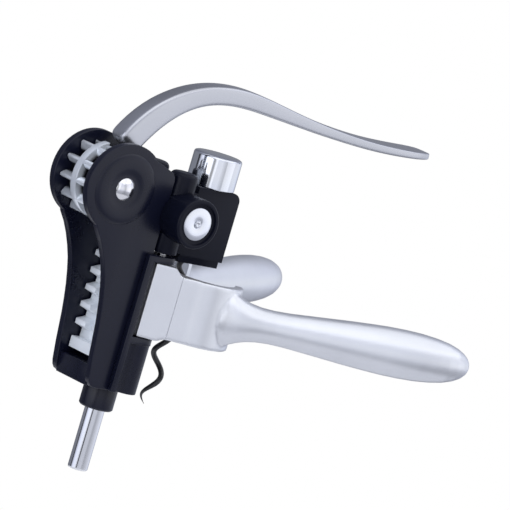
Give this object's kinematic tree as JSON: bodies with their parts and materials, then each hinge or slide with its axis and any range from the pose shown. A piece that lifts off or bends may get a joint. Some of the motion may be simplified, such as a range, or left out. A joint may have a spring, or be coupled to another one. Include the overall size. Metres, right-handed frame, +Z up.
{
  "type": "lever corkscrew",
  "caption": "Lever corkscrew with two clamp handles, a gear lever that drives a rack, a coated worm on a sliding carriage and a guide rod.",
  "frame": {"origin": "on the worm axis, at mid height of the bottle-neck clamp that the two jaws form when closed", "axes": "+Z up along the worm, away from the bottle; +X toward the handles; +Y to the rear"},
  "size_m": [0.191, 0.1548, 0.1801],
  "materials": {
    "satin_black": "satin black",
    "polished_steel": "polished",
    "chrome": "bright plated",
    "satin_silver": "satin silver",
    "die_cast_grey": "pale grey die casting",
    "brass": "turned",
    "coated_worm": "non-stick black coating",
    "pearl_silver": "pearl silver lacquer"
  },
  "bodies": {
    "frame": {"side_plate_front": "satin_black", "side_plate_rear": "satin_black", "gear_pin": "polished_steel", "pin_cap_front": "polished_steel", "pin_cap_rear": "polished_steel", "frame_bracket": "satin_black", "frame_base": "satin_black", "rod_collar": "satin_black", "base_dowels": "polished_steel", "hinge_pin_front": "polished_steel", "hinge_pin_rear": "polished_steel"},
    "lever": {"lever_arm": "satin_silver", "drive_gear": "die_cast_grey", "lever_dowels": "polished_steel"},
    "carriage": {"drive_rack": "die_cast_grey", "guide_rod": "polished_steel", "rack_screws": "polished_steel", "carriage_body": "satin_black", "boss_housing_front": "satin_black", "boss_housing_rear": "satin_black", "housing_screws": "polished_steel", "boss_disc_front": "chrome", "boss_disc_rear": "chrome", "disc_rivet_front": "chrome", "disc_rivet_rear": "chrome", "chrome_cap": "chrome", "thrust_washer": "polished_steel", "head_plug": "satin_black", "worm_nut": "brass"},
    "worm": {"worm": "coated_worm", "worm_head": "coated_worm"},
    "front_handle": {"jaw_front": "pearl_silver"},
    "rear_handle": {"jaw_rear": "pearl_silver"}
  },
  "joints": [
    {"name": "lever_swing", "type": "hinge", "parent": "frame", "child": "lever", "pos_m": [-0.0564, 0, 0.0466], "axis": [0, -1, 0], "range_deg": [0, 200]},
    {"name": "carriage_slide", "type": "slide", "parent": "frame", "child": "carriage", "axis": [0, 0, 1], "range_m": [0, 0.05276]},
    {"name": "worm_spin", "type": "hinge", "parent": "carriage", "child": "worm", "pos_m": [0, 0, 0], "axis": [0, 0, 1], "range_deg": [-944.5, 0]},
    {"name": "front_jaw_hinge", "type": "hinge", "parent": "frame", "child": "front_handle", "pos_m": [-0.024, -0.011, 0], "axis": [0, 0, 1], "range_deg": [-5, 24.5]},
    {"name": "rear_jaw_hinge", "type": "hinge", "parent": "frame", "child": "rear_handle", "pos_m": [-0.024, 0.011, 0], "axis": [0, 0, 1], "range_deg": [-24.5, 5]}
  ],
  "couplings": [
    {"joint": "carriage_slide", "follows": "lever_swing", "m_per_rad": 0.015},
    {"joint": "worm_spin", "follows": "lever_swing", "ratio": -4.7124}
  ]
}
